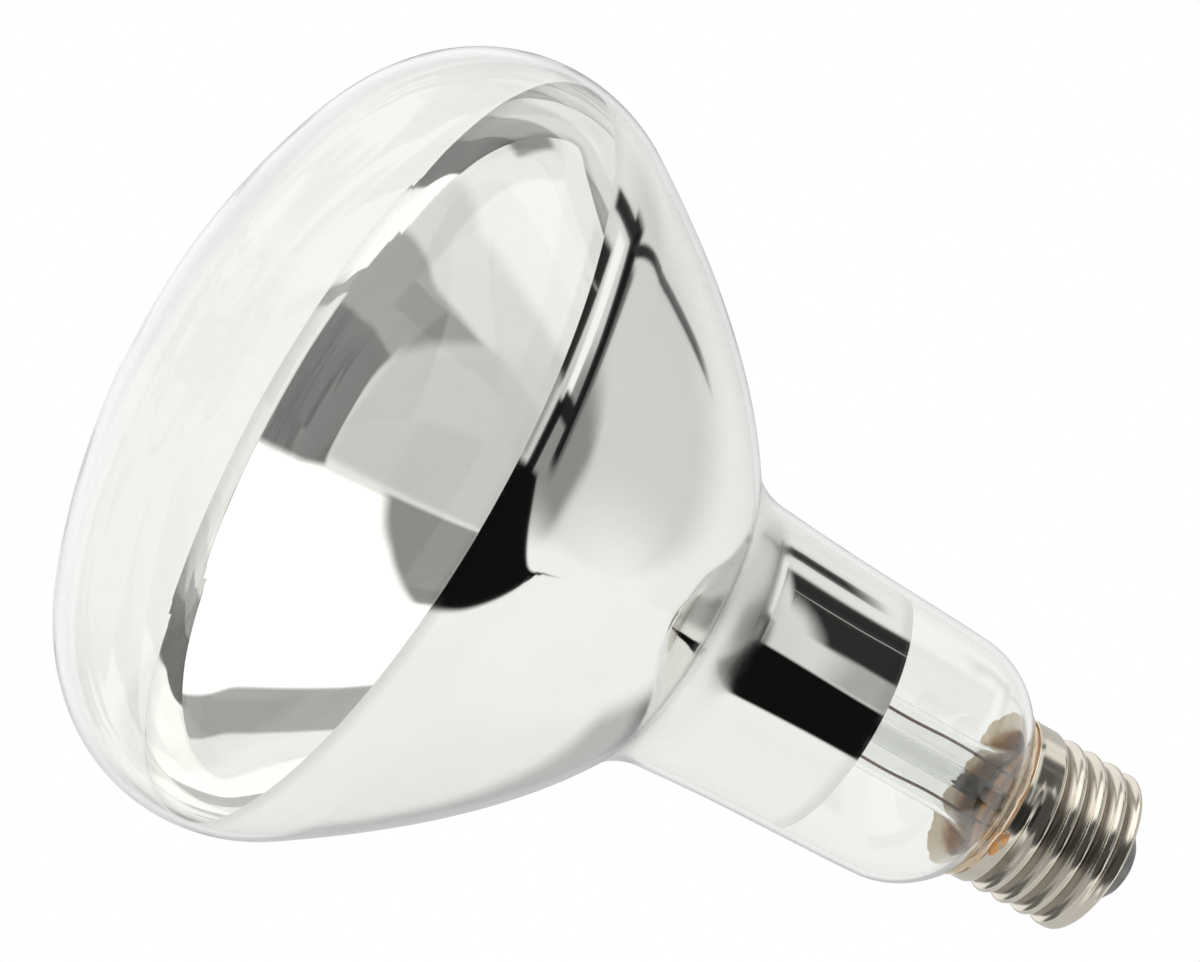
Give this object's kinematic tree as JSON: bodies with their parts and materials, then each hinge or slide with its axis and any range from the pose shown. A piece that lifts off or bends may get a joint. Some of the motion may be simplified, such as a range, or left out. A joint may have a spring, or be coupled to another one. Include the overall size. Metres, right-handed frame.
{
  "type": "reflector heat lamp",
  "caption": "Incandescent reflector drying lamp: crowned clear face, mirror-coated bowl and neck, glass stem with filament mount, and a round-thread screw cap.",
  "frame": {"origin": "middle of the crowned face, on the surface that the lamp stands on", "axes": "+Z along the lamp's axis from the face towards the screw cap; +X from the centre lead towards the side lead"},
  "size_m": [0.125, 0.125, 0.1709],
  "materials": {
    "clear_glass": "clear blown glass, fire polished",
    "mirror_layer": "bright vacuum-deposited metal behind glass, faintly wavy",
    "stem_glass": "clear lead glass tube and rod",
    "tungsten": "dull grey drawn tungsten coil",
    "molybdenum": "grey drawn wire",
    "nickel_wire": "satin nickel wire",
    "seal_alloy": "red copper-clad wire",
    "copper_wire": "darkened copper wire",
    "cap_nickel": "nickel plating, warm, rolled, lightly scuffed",
    "contact_brass": "plain brass",
    "black_glass": "black poured glass, semi-gloss",
    "cement": "brown baked basing cement, grainy",
    "solder": "dull tin solder with an amber flux stain"
  },
  "bodies": {
    "root": {"glass_envelope": "clear_glass", "mirror_coating": "mirror_layer", "stem_flare": "stem_glass", "exhaust_tube": "stem_glass", "support_rod": "stem_glass", "filament": "tungsten", "inner_lead_left": "nickel_wire", "inner_lead_right": "nickel_wire", "seal_wire_left": "seal_alloy", "seal_wire_right": "seal_alloy", "centre_lead": "copper_wire", "side_lead": "copper_wire", "basing_cement": "cement", "cap_shell": "cap_nickel", "cap_insulator": "black_glass", "centre_contact": "contact_brass", "centre_solder": "solder", "side_solder": "solder", "support_wire_1": "molybdenum", "support_wire_2": "molybdenum", "support_wire_3": "molybdenum", "support_wire_4": "molybdenum", "support_wire_5": "molybdenum"}
  },
  "joints": []
}
